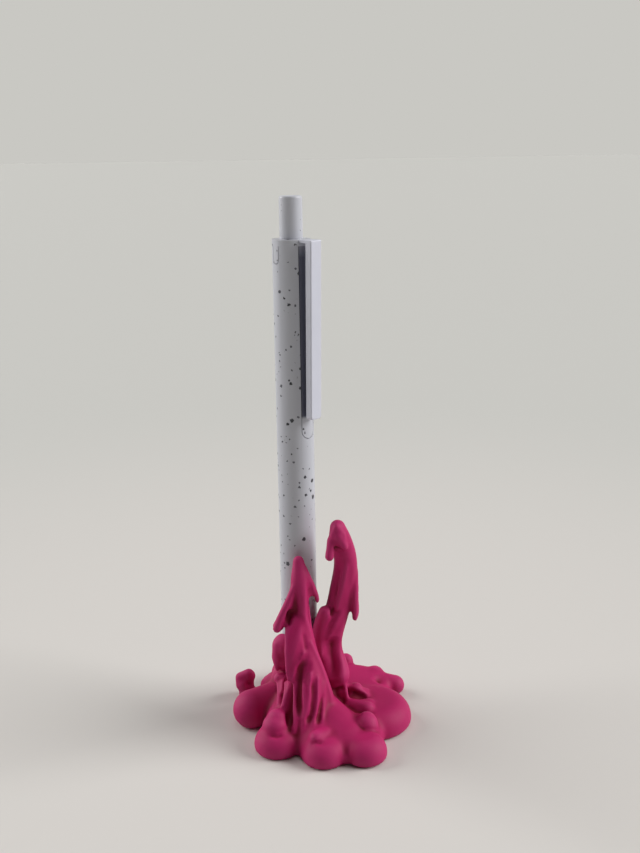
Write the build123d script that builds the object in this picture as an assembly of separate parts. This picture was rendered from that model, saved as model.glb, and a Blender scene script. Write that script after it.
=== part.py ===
from build123d import *
import os
from math import cos, radians, sin
from typing import NamedTuple

# A desk stand shaped like melting goo, with a click pen standing in its socket.
# Millimetres, +Z up. The origin is on the stand's underside, under the pen's axis. The front faces -Y.
# Bearings are degrees round the pen's axis from +X, so -90 is the front.

# Pen barrel
BARREL_DIAMETER = 10.4
BARREL_WALL = 1.0
PEN_BODY_LENGTH = 132.5
NOSE_LENGTH = 20.0
NOSE_END_DIAMETER = 5.6
NOSE_BULGE = 0.5
BORE_CONE_LENGTH = 6.0

# Cap ring, locking tabs and clip
CAP_THICKNESS = 1.6
CLIP_BEARING = -42.0
TAB_TURN = 101.0
TAB_WIDTH = 2.1
TAB_LENGTH = 6.2
STRIP_WIDTH = 4.3
STRIP_LENGTH = 54.0
TAB_THICKNESS = 0.45
TAB_CLEARANCE = 0.2
CLIP_LENGTH = 48.3
CLIP_WIDTH = 4.2
CLIP_THICKNESS = 1.9
CLIP_GAP_TOP = 1.85
CLIP_GAP_END = 1.0
CLIP_ROUNDING = 0.35
CLIP_CORNER = 1.05
CLIP_TONGUE = 0.75
CLIP_CLEARANCE = 0.05
CLIP_SIDE_CLEARANCE = 0.12
HINGE_INSET = 0.25

# Push button and its cam
PLUNGER_DIAMETER = 6.2
PLUNGER_EXPOSED = 11.2
PLUNGER_TRAVEL = 5.0
PLUNGER_ROUNDING = 0.6
PLUNGER_CLEARANCE = 0.1
FLANGE_OVERLAP = 0.25
FLANGE_THICKNESS = 1.5
FLANGE_CLEARANCE = 0.1
CORE_DIAMETER = 4.8
FIN_COUNT = 4
FIN_WIDTH = 1.2
FIN_HEIGHT = 0.7
FIN_LENGTH = 4.0
FIN_CLEARANCE = 0.15
TOOTH_DEPTH = 1.2
TOOTH_CLEARANCE = 0.1
ROTOR_LENGTH = 7.5
SLEEVE_CLEARANCE = 0.05
MECHANISM_LENGTH = 20.9

# Ink refill and its spring
REFILL_RECESS = 2.5
TUBE_DIAMETER = 3.2
TUBE_WALL = 0.4
TIP_DIAMETER = 2.3
TIP_REACH = 16.0
TIP_CONE_LENGTH = 3.2
TIP_END_DIAMETER = 1.0
TIP_SPIGOT = 6.0
TIP_BORE = 0.9
TIP_FEED = 0.35
TIP_CLEARANCE = 0.15
BALL_DIAMETER = 0.7
BALL_CLEARANCE = 0.02
BALL_SHOWING = 0.2
PLUG_FLANGE = 1.0
PLUG_SHANK = 4.0
PLUG_VENT = 0.8
INK_HEADROOM = 2.0
INK_CLEARANCE = 0.05
FIT_CLEARANCE = 0.05
SPRING_WIRE = 0.4
SPRING_TURNS = 10
SPRING_SEAT = 4.5
SPRING_CLEARANCE = 0.15
SPRING_END_GAP = 0.05
POCKET_CLEARANCE = 0.25

# Socket in the stand
SOCKET_FLOOR = 6.0
SOCKET_DEPTH = 16.0
SOCKET_CLEARANCE = 0.15
COLLAR_WALL = 1.7
COLLAR_ROUNDING = 0.8
TIP_ROOM = 1.0
RELIEF_CLEARANCE = 0.9

# Puddle
HUB_RADIUS = 11.0
HUB_RIM = 6.0
HUB_SAG = 3.0
PAD_TUCK = 1.5
PAD_CROWN = 0.4
ROUND_END = 1.02
TRIM_SPAN = 160.0


class Station(NamedTuple):
    """A round section of goo: bearing, distance from the socket's wall, height and radius."""

    bearing: float
    reach: float
    height: float
    radius: float


class Pad(NamedTuple):
    """A flat pad of the puddle: its centre's bearing and distance from the pen's axis, radius, height."""

    bearing: float
    distance: float
    radius: float
    height: float


# The front spire, from its tip to its root, then its drips
FRONT_SPIRE = [
    Station(-88.0, 2.8, 49.9, 1.6),
    Station(-86.5, 3.6, 46.0, 2.45),
    Station(-84.5, 4.3, 41.0, 2.7),
    Station(-83.0, 5.0, 34.5, 2.45),
    Station(-84.0, 6.2, 27.5, 3.3),
    Station(-82.5, 7.8, 21.0, 4.6),
    Station(-82.0, 9.6, 13.0, 6.4),
    Station(-82.0, 10.6, 5.0, 8.4),
]
FRONT_LEFT_DRIP = [
    Station(-94.0, 4.4, 41.5, 1.8),
    Station(-107.0, 5.8, 36.0, 1.6),
    Station(-117.0, 7.2, 31.6, 1.6),
]
FRONT_RIGHT_DRIP = [
    Station(-79.0, 3.7, 46.2, 1.6),
    Station(-67.0, 4.2, 42.7, 1.2),
    Station(-60.0, 4.75, 39.6, 0.85),
    Station(-58.0, 4.85, 38.0, 0.75),
]
FRONT_HANGING_DRIP = [
    Station(-87.0, 5.2, 34.0, 1.6),
    Station(-94.5, 8.8, 27.0, 2.4),
    Station(-98.0, 10.7, 22.2, 1.7),
    Station(-98.5, 11.3, 17.6, 0.6),
]
FRONT_RIGHT_FLANK = [
    Station(-78.0, 8.0, 25.0, 2.2),
    Station(-69.0, 9.8, 17.5, 2.4),
    Station(-63.5, 13.2, 9.0, 2.2),
]

# The right spire, from its hooked tip to the bulge at its foot, then its drips
RIGHT_SPIRE = [
    Station(-33.5, 8.3, 59.6, 2.2),
    Station(-28.5, 8.2, 56.5, 2.95),
    Station(-20.0, 8.9, 50.3, 3.25),
    Station(-16.0, 8.7, 45.0, 3.45),
    Station(-13.5, 7.4, 38.5, 3.5),
    Station(-15.0, 6.0, 32.0, 3.6),
    Station(-22.0, 4.2, 26.0, 4.0),
    Station(-28.0, 4.4, 20.0, 4.0),
    Station(-34.0, 7.0, 15.0, 4.1),
    Station(-37.0, 8.3, 11.5, 2.9),
]
RIGHT_LONG_DRIP = [
    Station(-11.0, 10.4, 43.5, 1.75),
    Station(-12.5, 11.0, 37.0, 1.25),
    Station(-13.7, 11.6, 32.5, 1.05),
    Station(-14.0, 11.5, 29.3, 0.4),
]
RIGHT_HOOK_DRIP = [
    Station(-41.0, 7.6, 56.0, 1.5),
    Station(-46.0, 7.9, 53.5, 1.25),
    Station(-48.0, 8.1, 51.9, 1.35),
]
RIGHT_HOOD = [
    Station(-36.8, 9.0, 57.6, 2.0),
    Station(-35.2, 10.8, 54.6, 1.1),
]
RIGHT_KNOB = [
    Station(-38.0, 4.4, 33.0, 2.1),
    Station(-41.0, 3.0, 28.0, 2.4),
    Station(-42.0, 3.4, 21.0, 2.8),
]
FRONT_LIMBS = [FRONT_SPIRE, FRONT_LEFT_DRIP, FRONT_RIGHT_DRIP, FRONT_HANGING_DRIP, FRONT_RIGHT_FLANK]
RIGHT_LIMBS = [RIGHT_SPIRE, RIGHT_LONG_DRIP, RIGHT_HOOK_DRIP, RIGHT_HOOD, RIGHT_KNOB]

# Fingers of the puddle, from under the hub to their round ends
LEFT_FINGER = [Station(-135.0, 0.0, 4.5, 6.2), Station(-146.5, 11.5, 4.4, 5.5)]
BACK_LEFT_FINGER = [Station(112.0, 2.0, 4.0, 5.2), Station(109.0, 8.4, 3.4, 4.9)]
BACK_FINGER = [Station(86.0, 2.0, 4.0, 5.9), Station(81.0, 10.2, 3.5, 5.4)]
FRONT_LEFT_RAMP = [Station(-99.0, 6.0, 5.0, 6.6), Station(-105.0, 18.0, 1.2, 6.2)]
FRONT_RAMP = [Station(-81.0, 9.0, 4.0, 8.6), Station(-76.0, 22.5, 0.6, 6.4)]
FRONT_RIGHT_RAMP = [Station(-76.0, 8.0, 5.0, 8.0), Station(-61.0, 21.0, 0.4, 7.8)]
RIGHT_BACK_FINGER = [Station(17.0, 19.0, 3.2, 3.3), Station(13.0, 24.1, 2.5, 2.9)]
DROPLET_NECK = [Station(165.0, 3.5, 0.2, 3.2), Station(160.5, 12.6, 0.2, 2.3)]
DROPLET = [Station(160.5, 12.6, 1.5, 2.2), Station(160.8, 12.8, 4.4, 2.7)]
RIGHT_MOUND = [Station(-37.8, 15.5, 6.1, 2.3), Station(-31.6, 17.5, 6.1, 2.4)]
FINGERS = [
    LEFT_FINGER,
    BACK_LEFT_FINGER,
    BACK_FINGER,
    FRONT_LEFT_RAMP,
    FRONT_RAMP,
    FRONT_RIGHT_RAMP,
    RIGHT_BACK_FINGER,
    DROPLET_NECK,
    DROPLET,
    RIGHT_MOUND,
]

PADS = {
    "middle": Pad(-50.0, 8.0, 15.0, 7.0),
    "front_left": Pad(-105.0, 23.7, 6.6, 6.6),
    "front": Pad(-76.5, 29.0, 6.2, 6.6),
    "front_right": Pad(-57.0, 33.0, 6.1, 6.6),
    "front_right_root": Pad(-53.0, 25.0, 8.5, 7.0),
    "right": Pad(-24.6, 22.8, 11.5, 7.4),
    "right_back": Pad(15.0, 16.5, 11.0, 6.8),
    "back_right": Pad(55.0, 15.8, 6.0, 6.4),
}

# Bubbles, as round lumps: bearing, distance from the socket's wall, height of the centre and radius
BUBBLES = {
    "collar_upper": Station(-136.0, 0.5, 21.6, 3.9),
    "collar_lower": Station(-137.0, 0.6, 18.0, 3.75),
    "under_collar": Station(-171.5, 1.5, 9.9, 1.9),
    "front_left_dome": Station(-106.5, 18.0, 6.6, 3.8),
    "front_ridge": Station(-81.0, 23.6, 6.6, 1.9),
    "right_ball": Station(-48.2, 22.8, 6.9, 2.8),
    "right_overhang": Station(-23.2, 12.3, 8.6, 2.3),
    "left_back_bump": Station(163.0, 5.1, 5.2, 2.4),
    "droplet_left_bump": Station(161.9, 13.9, 5.9, 1.9),
    "droplet_right_bump": Station(159.3, 11.6, 6.6, 2.0),
    "right_back_bump": Station(22.0, 19.0, 4.2, 3.2),
    "back_bump": Station(47.0, 15.0, 6.4, 2.4),
}

# Where a solid stands when it is made: centred, with its foot at zero
STANDING = (Align.CENTER, Align.CENTER, Align.MIN)

# Heights along the pen from its nose end, and radii that several pieces share
BARREL_RADIUS = BARREL_DIAMETER / 2
BARREL_LENGTH = PEN_BODY_LENGTH - CAP_THICKNESS
BORE_RADIUS = BARREL_RADIUS - BARREL_WALL
TIP_RADIUS = TIP_DIAMETER / 2
TUBE_RADIUS = TUBE_DIAMETER / 2
TUBE_BORE = TUBE_RADIUS - TUBE_WALL
TUBE_FOOT = REFILL_RECESS + TIP_REACH
REFILL_TOP = BARREL_LENGTH - MECHANISM_LENGTH
COIL_RADIUS = TIP_RADIUS + SPRING_CLEARANCE + SPRING_WIRE / 2
POCKET_RADIUS = COIL_RADIUS + SPRING_WIRE / 2 + POCKET_CLEARANCE
POCKET_TOP = TUBE_FOOT + 2 * SPRING_WIRE
MOUTH_RADIUS = TIP_RADIUS + TIP_CLEARANCE
PLUNGER_RADIUS = PLUNGER_DIAMETER / 2
CAP_HOLE = PLUNGER_RADIUS + PLUNGER_CLEARANCE
FLANGE_RADIUS = CAP_HOLE + FLANGE_OVERLAP
CORE_RADIUS = CORE_DIAMETER / 2
FIN_RADIUS = CORE_RADIUS + FIN_HEIGHT
FIN_STEP = 360 / FIN_COUNT
SLEEVE_RADIUS = BORE_RADIUS - SLEEVE_CLEARANCE
SLEEVE_BORE = max(FIN_RADIUS, FLANGE_RADIUS) + FIN_CLEARANCE
RIB_RADIUS = CORE_RADIUS + FIN_CLEARANCE
FLANGE_TOP = BARREL_LENGTH - FLANGE_CLEARANCE
FLANGE_FOOT = FLANGE_TOP - FLANGE_THICKNESS
ROTOR_TOP = REFILL_TOP + ROTOR_LENGTH
ROTOR_FIN_TOP = ROTOR_TOP - TOOTH_DEPTH
PLUNGER_FOOT = ROTOR_TOP - TOOTH_DEPTH + TOOTH_CLEARANCE
PLUNGER_FIN_FOOT = PLUNGER_FOOT + TOOTH_DEPTH
SLEEVE_FOOT = ROTOR_FIN_TOP - PLUNGER_TRAVEL
RIB_TOP = FLANGE_FOOT - PLUNGER_TRAVEL - FIN_CLEARANCE
HINGE_RADIUS = BARREL_RADIUS - HINGE_INSET
HINGE_HEIGHT = PEN_BODY_LENGTH - CLIP_TONGUE / 2
TAB_BEARINGS = [CLIP_BEARING - TAB_TURN, CLIP_BEARING + TAB_TURN]
SOCKET_RADIUS = BARREL_RADIUS + SOCKET_CLEARANCE
SOCKET_MOUTH = SOCKET_FLOOR + SOCKET_DEPTH
COLLAR_RADIUS = SOCKET_RADIUS + COLLAR_WALL
RELIEF_RADIUS = MOUTH_RADIUS + RELIEF_CLEARANCE
RELIEF_DEPTH = PLUNGER_TRAVEL - REFILL_RECESS + TIP_ROOM


def ring(outer, inner, foot, top):
    """An upright tube between two heights."""
    wall = Cylinder(outer, top - foot, align=STANDING) - Cylinder(inner, top - foot, align=STANDING)
    return Pos(0, 0, foot) * wall


def rod(radius, foot, top):
    """An upright cylinder between two heights."""
    return Pos(0, 0, foot) * Cylinder(radius, top - foot, align=STANDING)


def turned(*corners):
    """A solid turned round the pen's axis from (radius, height) corners."""
    outline = make_face(Polyline([(radius, 0, height) for radius, height in corners], close=True))
    return revolve(outline, Axis.Z)


def fin_cross(width, outer, foot, top):
    """Fins standing out from the pen's axis at equal turns."""
    bar = Pos(0, 0, foot) * Box(2 * outer, width, top - foot, align=STANDING)
    bars = [Rot(0, 0, turn * FIN_STEP) * bar for turn in range(FIN_COUNT // 2)]
    return (Part() + bars) & rod(outer, foot, top)


def tooth_cross(foot, depth):
    """Crossed V ridges, halfway between the fins, that point up from a foot level."""
    outline = Polyline([(-depth, foot), (depth, foot), (0, foot + depth)], close=True)
    ridge = extrude(Plane.YZ * make_face(outline), BARREL_RADIUS, both=True)
    ridges = [Rot(0, 0, FIN_STEP / 2 + turn * FIN_STEP) * ridge for turn in range(FIN_COUNT // 2)]
    return Part() + ridges


def tongue(bearing, width, foot, top, outer, inner):
    """A patch of tube wall at a bearing, with a round lower end."""
    patch = Plane.YZ * (
        Pos(0, (foot + width / 2 + top) / 2) * Rectangle(width, top - foot - width / 2)
        + Pos(0, foot + width / 2) * Circle(width / 2)
    )
    wall = ring(outer, inner, foot - width, top)
    return Rot(0, 0, bearing) * (wall & extrude(patch, BARREL_DIAMETER))


def make_barrel():
    """The one-piece barrel: nose, spring pocket, bore and the slots for the cap's tabs and strip."""
    nose_end = NOSE_END_DIAMETER / 2
    middle = ((nose_end + BARREL_RADIUS) / 2 + NOSE_BULGE, 0, NOSE_LENGTH / 2)
    outline = [
        Line((MOUTH_RADIUS, 0, 0), (nose_end, 0, 0)),
        ThreePointArc((nose_end, 0, 0), middle, (BARREL_RADIUS, 0, NOSE_LENGTH)),
        Polyline(
            (BARREL_RADIUS, 0, NOSE_LENGTH),
            (BARREL_RADIUS, 0, BARREL_LENGTH),
            (BORE_RADIUS, 0, BARREL_LENGTH),
            (BORE_RADIUS, 0, POCKET_TOP + BORE_CONE_LENGTH),
            (POCKET_RADIUS, 0, POCKET_TOP),
            (POCKET_RADIUS, 0, SPRING_SEAT),
            (MOUTH_RADIUS, 0, SPRING_SEAT),
            (MOUTH_RADIUS, 0, 0),
        ),
    ]
    barrel = revolve(make_face(outline), Axis.Z)
    slot_floor = BARREL_RADIUS - TAB_THICKNESS - TAB_CLEARANCE
    slot_outer = BARREL_RADIUS + BARREL_WALL
    for bearing in TAB_BEARINGS:
        foot = PEN_BODY_LENGTH - TAB_LENGTH - TAB_CLEARANCE
        width = TAB_WIDTH + 2 * TAB_CLEARANCE
        barrel -= tongue(bearing, width, foot, PEN_BODY_LENGTH, slot_outer, slot_floor)
    foot = PEN_BODY_LENGTH - STRIP_LENGTH - TAB_CLEARANCE
    width = STRIP_WIDTH + 2 * TAB_CLEARANCE
    barrel -= tongue(CLIP_BEARING, width, foot, PEN_BODY_LENGTH, slot_outer, slot_floor)
    return barrel


def make_clip_cap():
    """The cap ring with two locking tabs, the flush strip and the notch that holds the clip's tongue."""
    cap = ring(BARREL_RADIUS, CAP_HOLE, BARREL_LENGTH, PEN_BODY_LENGTH)
    tab_inner = BARREL_RADIUS - TAB_THICKNESS
    for bearing in TAB_BEARINGS:
        foot = PEN_BODY_LENGTH - TAB_LENGTH
        cap += tongue(bearing, TAB_WIDTH, foot, PEN_BODY_LENGTH, BARREL_RADIUS, tab_inner)
    foot = PEN_BODY_LENGTH - STRIP_LENGTH
    cap += tongue(CLIP_BEARING, STRIP_WIDTH, foot, PEN_BODY_LENGTH, BARREL_RADIUS, tab_inner)
    notch_inner = HINGE_RADIUS - CLIP_TONGUE / 2 - CLIP_CLEARANCE
    notch_depth = CLIP_TONGUE + CLIP_CLEARANCE
    notch_width = CLIP_WIDTH + 2 * CLIP_SIDE_CLEARANCE
    notch = Box(BARREL_RADIUS, notch_width, notch_depth, align=(Align.MIN, Align.CENTER, Align.MAX))
    cap -= Rot(0, 0, CLIP_BEARING) * Pos(notch_inner, 0, PEN_BODY_LENGTH) * notch
    return cap


def make_clip():
    """The bar clip with its tongue, whose round inner end lies on the flexing line."""
    inner_top = BARREL_RADIUS + CLIP_GAP_TOP
    inner_end = BARREL_RADIUS + CLIP_GAP_END
    clip_foot = PEN_BODY_LENGTH - CLIP_LENGTH
    tongue_foot = PEN_BODY_LENGTH - CLIP_TONGUE
    bar = make_face(
        Polyline(
            (inner_top, PEN_BODY_LENGTH),
            (inner_top + CLIP_THICKNESS, PEN_BODY_LENGTH),
            (inner_end + CLIP_THICKNESS, clip_foot),
            (inner_end, clip_foot),
            close=True,
        )
    )
    bar = extrude(Plane.XZ * bar, CLIP_WIDTH / 2, both=True)
    foot_corners = bar.faces().sort_by(Axis.Z)[0].edges().filter_by(Axis.X)
    bar = fillet(foot_corners, CLIP_CORNER)
    outer_face = bar.faces().filter_by(GeomType.PLANE).sort_by(Axis.X)[-1]
    bar = fillet(outer_face.edges().filter_by(GeomType.LINE), CLIP_ROUNDING)
    strap_length = inner_top - HINGE_RADIUS + CLIP_THICKNESS / 2
    strap = Box(strap_length, CLIP_WIDTH, CLIP_TONGUE, align=(Align.MIN, Align.CENTER, Align.MIN))
    knuckle = Pos(HINGE_RADIUS, 0, HINGE_HEIGHT) * Rot(90, 0, 0) * Cylinder(CLIP_TONGUE / 2, CLIP_WIDTH)
    clip = bar + Pos(HINGE_RADIUS, 0, tongue_foot) * strap + knuckle
    return Rot(0, 0, CLIP_BEARING) * clip


def make_guide_sleeve():
    """The sleeve pressed into the barrel's top, with ribs that keep the fins straight."""
    sleeve = ring(SLEEVE_RADIUS, SLEEVE_BORE, SLEEVE_FOOT, BARREL_LENGTH)
    ribs = ring(SLEEVE_RADIUS, RIB_RADIUS, SLEEVE_FOOT, RIB_TOP)
    groove_width = FIN_WIDTH + 2 * FIN_CLEARANCE
    return sleeve + (ribs - fin_cross(groove_width, SLEEVE_BORE, SLEEVE_FOOT, RIB_TOP))


def make_plunger():
    """The push button with its retaining flange, finned core and crown of teeth."""
    top = PEN_BODY_LENGTH + PLUNGER_EXPOSED
    button = rod(PLUNGER_RADIUS, FLANGE_FOOT, top)
    button = fillet(button.edges().group_by(Axis.Z)[-1], PLUNGER_ROUNDING)
    button += rod(FLANGE_RADIUS, FLANGE_FOOT, FLANGE_TOP)
    core = rod(CORE_RADIUS, PLUNGER_FOOT, FLANGE_FOOT)
    fins = fin_cross(FIN_WIDTH, FIN_RADIUS, PLUNGER_FIN_FOOT, PLUNGER_FIN_FOOT + FIN_LENGTH)
    return button + core + fins - tooth_cross(PLUNGER_FOOT, TOOTH_DEPTH)


def make_cam_rotor():
    """The rotor that carries the refill, with teeth that mesh with the plunger's crown."""
    foot = REFILL_TOP
    body = rod(CORE_RADIUS, foot, ROTOR_FIN_TOP)
    teeth = tooth_cross(ROTOR_FIN_TOP, TOOTH_DEPTH) & rod(CORE_RADIUS, ROTOR_FIN_TOP, ROTOR_TOP)
    fins = fin_cross(FIN_WIDTH, FIN_RADIUS, ROTOR_FIN_TOP - FIN_LENGTH, ROTOR_FIN_TOP)
    return body + teeth + fins


def make_return_spring():
    """The coil spring between the nose's seat and the shoulder of the ink tube."""
    low = SPRING_SEAT + SPRING_WIRE / 2 + SPRING_END_GAP
    high = TUBE_FOOT - SPRING_WIRE / 2 - SPRING_END_GAP
    coil = Helix((high - low) / SPRING_TURNS, high - low, COIL_RADIUS)
    section = Plane(origin=coil @ 0, z_dir=coil % 0) * Circle(SPRING_WIRE / 2)
    return Pos(0, 0, low) * sweep(section, path=coil, is_frenet=True)


def make_refill_tube():
    """The ink tube."""
    return ring(TUBE_RADIUS, TUBE_BORE, TUBE_FOOT, REFILL_TOP - PLUG_FLANGE)


def make_refill_plug():
    """The vented plug at the rear of the ink tube."""
    top = REFILL_TOP
    seat = top - PLUG_FLANGE
    plug = rod(TUBE_RADIUS, seat, top) + rod(TUBE_BORE - FIT_CLEARANCE, seat - PLUG_SHANK, seat)
    return plug - rod(PLUG_VENT / 2, seat - PLUG_SHANK, top)


def make_refill_tip():
    """The metal writing tip, bored for ink, with a round seat for the ball."""
    foot = REFILL_RECESS + BALL_SHOWING
    spigot_radius = TUBE_BORE - FIT_CLEARANCE
    tip = turned(
        (0, foot),
        (TIP_END_DIAMETER / 2, foot),
        (TIP_RADIUS, foot + TIP_CONE_LENGTH),
        (TIP_RADIUS, TUBE_FOOT),
        (spigot_radius, TUBE_FOOT),
        (spigot_radius, TUBE_FOOT + TIP_SPIGOT),
        (0, TUBE_FOOT + TIP_SPIGOT),
    )
    ball_radius = BALL_DIAMETER / 2
    seat = Pos(0, 0, REFILL_RECESS + ball_radius) * Sphere(ball_radius + BALL_CLEARANCE)
    feed = rod(TIP_FEED / 2, REFILL_RECESS + ball_radius, foot + TIP_CONE_LENGTH)
    channel = rod(TIP_BORE / 2, foot + TIP_CONE_LENGTH, TUBE_FOOT + TIP_SPIGOT)
    return tip - seat - feed - channel


def make_writing_ball():
    """The ball in the writing tip."""
    return Pos(0, 0, REFILL_RECESS + BALL_DIAMETER / 2) * Sphere(BALL_DIAMETER / 2)


def make_ink_column():
    """The ink that fills most of the tube."""
    top = REFILL_TOP - PLUG_FLANGE - PLUG_SHANK - INK_HEADROOM
    return rod(TUBE_BORE - INK_CLEARANCE, TUBE_FOOT + TIP_SPIGOT, top)


def joined(pieces):
    """One solid from pieces, joined one after another."""
    whole = pieces[0]
    for piece in pieces[1:]:
        whole += piece
    return whole


def spot(bearing, distance, height):
    """A point at a bearing and a distance from the pen's axis."""
    angle = radians(bearing)
    return Vector(distance * cos(angle), distance * sin(angle), height)


def bubble(station):
    """A round lump of goo."""
    centre = spot(station.bearing, SOCKET_RADIUS + station.reach, station.height)
    return Pos(centre) * Sphere(station.radius)


def limb(stations):
    """A tapering run of goo through its stations, with a round end at each tip."""
    centres = [spot(each.bearing, SOCKET_RADIUS + each.reach, each.height) for each in stations]
    span = centres[-1] - centres[0]
    upright = abs(span.Z) > abs(span.X) + abs(span.Y)
    steady = (1, 0, 0) if upright else (0, 0, 1)
    sections = []
    for index, station in enumerate(stations):
        heading = centres[min(index + 1, len(centres) - 1)] - centres[max(index - 1, 0)]
        section = Plane(origin=centres[index], x_dir=steady, z_dir=heading)
        sections.append(section * Circle(station.radius))
    ends = [Pos(centres[index]) * Sphere(stations[index].radius * ROUND_END) for index in (0, -1)]
    return joined([loft(sections)] + ends)


def above_desk(piece):
    """What of a piece lies above the desk."""
    return piece - Box(TRIM_SPAN, TRIM_SPAN, TRIM_SPAN, align=(Align.CENTER, Align.CENTER, Align.MAX))


def puddle_pad(pad):
    """A flat pad whose full round edge tucks under at its foot."""
    disc = rod(pad.radius, 0, pad.height)
    disc = fillet(disc.edges().group_by(Axis.Z)[-1], pad.height - PAD_TUCK - PAD_CROWN)
    disc = fillet(disc.edges().group_by(Axis.Z)[0], PAD_TUCK)
    return Pos(spot(pad.bearing, pad.distance, 0)) * disc


def make_hub():
    """The flared mound round the socket."""
    sag_radius = (COLLAR_RADIUS + HUB_RADIUS - HUB_SAG) / 2
    sag_height = (SOCKET_MOUTH + HUB_RIM - HUB_SAG) / 2
    outline = [
        Polyline((0, 0, 0), (0, 0, SOCKET_MOUTH), (COLLAR_RADIUS, 0, SOCKET_MOUTH)),
        ThreePointArc(
            (COLLAR_RADIUS, 0, SOCKET_MOUTH),
            (sag_radius, 0, sag_height),
            (HUB_RADIUS, 0, HUB_RIM),
        ),
        Polyline((HUB_RADIUS, 0, HUB_RIM), (HUB_RADIUS, 0, 0), (0, 0, 0)),
    ]
    hub = revolve(make_face(outline), Axis.Z)
    return fillet(hub.edges().group_by(Axis.Z)[-1], COLLAR_ROUNDING)


def make_goo_stand():
    """The whole stand as one piece, flat below, with the pen's socket sunk into it."""
    puddle = [make_hub()]
    puddle += [puddle_pad(pad) for pad in PADS.values()]
    puddle += [above_desk(limb(stations)) for stations in FINGERS]
    puddle += [bubble(station) for station in BUBBLES.values()]
    front_spire = joined([above_desk(limb(stations)) for stations in FRONT_LIMBS])
    right_spire = joined([limb(stations) for stations in RIGHT_LIMBS])
    stand = joined([joined(puddle), front_spire, right_spire])
    stand -= rod(SOCKET_RADIUS, SOCKET_FLOOR, SOCKET_FLOOR + PEN_BODY_LENGTH)
    return stand - rod(RELIEF_RADIUS, SOCKET_FLOOR - RELIEF_DEPTH, SOCKET_FLOOR)


PEN_PIECES = {
    "barrel": make_barrel,
    "clip_cap": make_clip_cap,
    "clip": make_clip,
    "guide_sleeve": make_guide_sleeve,
    "plunger": make_plunger,
    "cam_rotor": make_cam_rotor,
    "return_spring": make_return_spring,
    "refill_tube": make_refill_tube,
    "refill_plug": make_refill_plug,
    "refill_tip": make_refill_tip,
    "writing_ball": make_writing_ball,
    "ink_column": make_ink_column,
}

os.makedirs("parts", exist_ok=True)
export_step(make_goo_stand(), "parts/goo_stand.step")
for name, make in PEN_PIECES.items():
    export_step(Pos(0, 0, SOCKET_FLOOR) * make(), f"parts/{name}.step")
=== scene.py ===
"""Looks for a pen stand shaped like melting goo, with a click pen standing in its socket."""

import logging
import math
from dataclasses import dataclass
from enum import Enum

import bmesh
import bpy
import numpy as np
from mathutils import Matrix, Vector


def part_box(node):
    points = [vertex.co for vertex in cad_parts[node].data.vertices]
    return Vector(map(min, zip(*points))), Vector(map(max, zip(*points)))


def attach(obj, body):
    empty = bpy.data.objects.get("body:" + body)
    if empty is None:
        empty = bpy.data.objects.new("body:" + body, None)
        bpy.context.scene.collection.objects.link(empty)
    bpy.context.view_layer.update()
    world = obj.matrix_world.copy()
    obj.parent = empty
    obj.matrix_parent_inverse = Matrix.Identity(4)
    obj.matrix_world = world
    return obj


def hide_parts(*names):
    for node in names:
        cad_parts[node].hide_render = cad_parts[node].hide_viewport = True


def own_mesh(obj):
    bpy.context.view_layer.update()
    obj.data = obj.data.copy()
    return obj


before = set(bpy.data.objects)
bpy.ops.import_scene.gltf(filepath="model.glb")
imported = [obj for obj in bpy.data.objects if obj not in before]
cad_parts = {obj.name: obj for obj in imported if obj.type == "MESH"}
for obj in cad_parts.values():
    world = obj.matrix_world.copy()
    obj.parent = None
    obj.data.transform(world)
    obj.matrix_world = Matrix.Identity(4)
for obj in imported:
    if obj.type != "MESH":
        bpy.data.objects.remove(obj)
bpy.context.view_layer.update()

LOG = logging.getLogger("pen_stand")
MM = 0.001
# Name of the goo's own attribute: how deep in a fold each point lies, which places the painted
# shade and painted highlight
HOLLOW = "hollow"
# Points of a solid's mesh that lie closer than this are one point.
WELD_MM = 0.01
# A Wave texture at this scale draws one band to the unit.
WAVE_BAND = math.tau / 20


class Body(Enum):
    """The bodies that the new pieces ride on."""

    STAND = "stand"
    PEN = "pen"


def linear(hex_code: str) -> tuple[float, float, float, float]:
    """Turn an sRGB hex colour into linear light.

    Args:
        hex_code: The colour as "#RRGGBB".

    Returns:
        Red, green, blue and a full alpha.
    """
    shares = [int(hex_code[start:start + 2], 16) / 255 for start in (1, 3, 5)]
    red, green, blue = (s / 12.92 if s <= 0.04045 else ((s + 0.055) / 1.055) ** 2.4 for s in shares)
    return red, green, blue, 1.0


def per_metre(size_mm: float) -> float:
    """Texture scale that gives a pattern of this size in millimetres."""
    return 1 / (size_mm * MM)


def add_node(
    tree: bpy.types.NodeTree,
    kind: str,
    settings: dict | None = None,
    values: dict | None = None,
    links: dict | None = None,
) -> bpy.types.Node:
    """Add a node with its settings, socket values and incoming links.

    Args:
        tree: The node tree to add to.
        kind: The node's type.
        settings: Attributes of the node.
        values: Input sockets, by name or index, and their constant values.
        links: Input sockets, by name or index, and the outputs that feed them.

    Returns:
        The new node.
    """
    node = tree.nodes.new(kind)
    for name, value in (settings or {}).items():
        setattr(node, name, value)
    for socket, value in (values or {}).items():
        node.inputs[socket].default_value = value
    for socket, source in (links or {}).items():
        tree.links.new(source, node.inputs[socket])
    return node


def new_material(
    name: str,
) -> tuple[bpy.types.Material, bpy.types.NodeTree, bpy.types.Node, bpy.types.NodeSocket]:
    """Make a material that holds one plain shader.

    Args:
        name: The material's name.

    Returns:
        The material, its node tree, its shader and the object's own coordinates.
    """
    material = bpy.data.materials.new(name)
    material.use_nodes = True
    tree = material.node_tree
    tree.nodes.clear()
    shader = add_node(tree, "ShaderNodeBsdfPrincipled")
    add_node(tree, "ShaderNodeOutputMaterial", links={"Surface": shader.outputs["BSDF"]})
    place = add_node(tree, "ShaderNodeTexCoord").outputs["Object"]
    return material, tree, shader, place


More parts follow.
